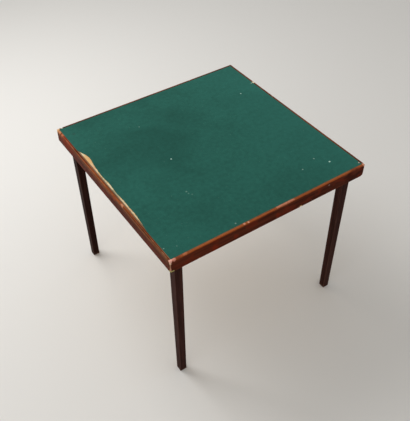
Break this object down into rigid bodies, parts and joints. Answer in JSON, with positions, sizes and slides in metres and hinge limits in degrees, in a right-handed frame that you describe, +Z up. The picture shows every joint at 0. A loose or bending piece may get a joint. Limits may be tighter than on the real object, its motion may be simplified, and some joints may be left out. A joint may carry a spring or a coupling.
{
  "type": "folding game table",
  "caption": "Square folding card table: baize playing surface set in a wooden frame, on tapered square legs that lock open and fold flat inside the frame.",
  "frame": {"origin": "on the floor under the middle of the top", "axes": "+X along the front rail to the right, +Y towards the back rail, +Z up"},
  "size_m": [0.84, 0.84, 0.7],
  "materials": {
    "baize": "woollen baize, napped, faded and worn",
    "ply": "bare birch plywood",
    "mahogany": "mahogany stain under shellac polish, rubbed at the corners",
    "leg_wood": "dark brown stain, satin",
    "block_wood": "planed beech, unfinished",
    "batten_wood": "sawn deal, unfinished",
    "bracket_steel": "pressed steel, dulled zinc",
    "pin_steel": "riveted steel",
    "spring_steel": "blued spring steel",
    "screw_steel": "bright steel wood screws, dulled",
    "screw_brass": "brass wood screws, tarnished"
  },
  "bodies": {
    "table_top": {"baize": "baize", "panel": "ply", "front_rail": "mahogany", "right_rail": "mahogany", "back_rail": "mahogany", "left_rail": "mahogany", "front_left_corner_block": "block_wood", "front_right_corner_block": "block_wood", "back_right_corner_block": "block_wood", "back_left_corner_block": "block_wood", "front_left_bracket": "bracket_steel", "front_right_bracket": "bracket_steel", "back_right_bracket": "bracket_steel", "back_left_bracket": "bracket_steel", "front_left_pivot_pin": "pin_steel", "front_right_pivot_pin": "pin_steel", "back_right_pivot_pin": "pin_steel", "back_left_pivot_pin": "pin_steel", "front_glue_strip": "batten_wood", "right_glue_strip": "batten_wood", "back_glue_strip": "batten_wood", "left_glue_strip": "batten_wood", "long_batten": "batten_wood", "cross_batten": "batten_wood", "block_screws": "screw_brass", "bracket_screws": "screw_steel", "catch_screws": "screw_steel"},
    "front_left_leg": {"front_left_leg": "leg_wood"},
    "front_left_catch": {"front_left_catch": "spring_steel"},
    "front_right_leg": {"front_right_leg": "leg_wood"},
    "front_right_catch": {"front_right_catch": "spring_steel"},
    "back_right_leg": {"back_right_leg": "leg_wood"},
    "back_right_catch": {"back_right_catch": "spring_steel"},
    "back_left_leg": {"back_left_leg": "leg_wood"},
    "back_left_catch": {"back_left_catch": "spring_steel"}
  },
  "joints": [
    {"name": "front_left_leg_fold", "type": "hinge", "parent": "table_top", "child": "front_left_leg", "pos_m": [-0.372, -0.372, 0.676], "axis": [0, -1, 0], "range_deg": [0, 90], "deforming": ["front_left_catch"]},
    {"name": "front_left_catch_press", "type": "hinge", "parent": "table_top", "child": "front_left_catch", "pos_m": [-0.264, -0.4014, 0.6535], "axis": [0, 0, 1], "range_deg": [0, 9], "stiffness_Nm_per_rad": 9.3},
    {"name": "front_right_leg_fold", "type": "hinge", "parent": "table_top", "child": "front_right_leg", "pos_m": [0.372, -0.372, 0.676], "axis": [1, 0, 0], "range_deg": [0, 90], "deforming": ["front_right_catch"]},
    {"name": "front_right_catch_press", "type": "hinge", "parent": "table_top", "child": "front_right_catch", "pos_m": [0.4014, -0.264, 0.6535], "axis": [0, 0, 1], "range_deg": [0, 9], "stiffness_Nm_per_rad": 9.3},
    {"name": "back_right_leg_fold", "type": "hinge", "parent": "table_top", "child": "back_right_leg", "pos_m": [0.372, 0.372, 0.676], "axis": [0, 1, 0], "range_deg": [0, 90], "deforming": ["back_right_catch"]},
    {"name": "back_right_catch_press", "type": "hinge", "parent": "table_top", "child": "back_right_catch", "pos_m": [0.264, 0.4014, 0.6535], "axis": [0, 0, 1], "range_deg": [0, 9], "stiffness_Nm_per_rad": 9.3},
    {"name": "back_left_leg_fold", "type": "hinge", "parent": "table_top", "child": "back_left_leg", "pos_m": [-0.372, 0.372, 0.676], "axis": [-1, 0, 0], "range_deg": [0, 90], "deforming": ["back_left_catch"]},
    {"name": "back_left_catch_press", "type": "hinge", "parent": "table_top", "child": "back_left_catch", "pos_m": [-0.4014, 0.264, 0.6535], "axis": [0, 0, 1], "range_deg": [0, 9], "stiffness_Nm_per_rad": 9.3}
  ]
}
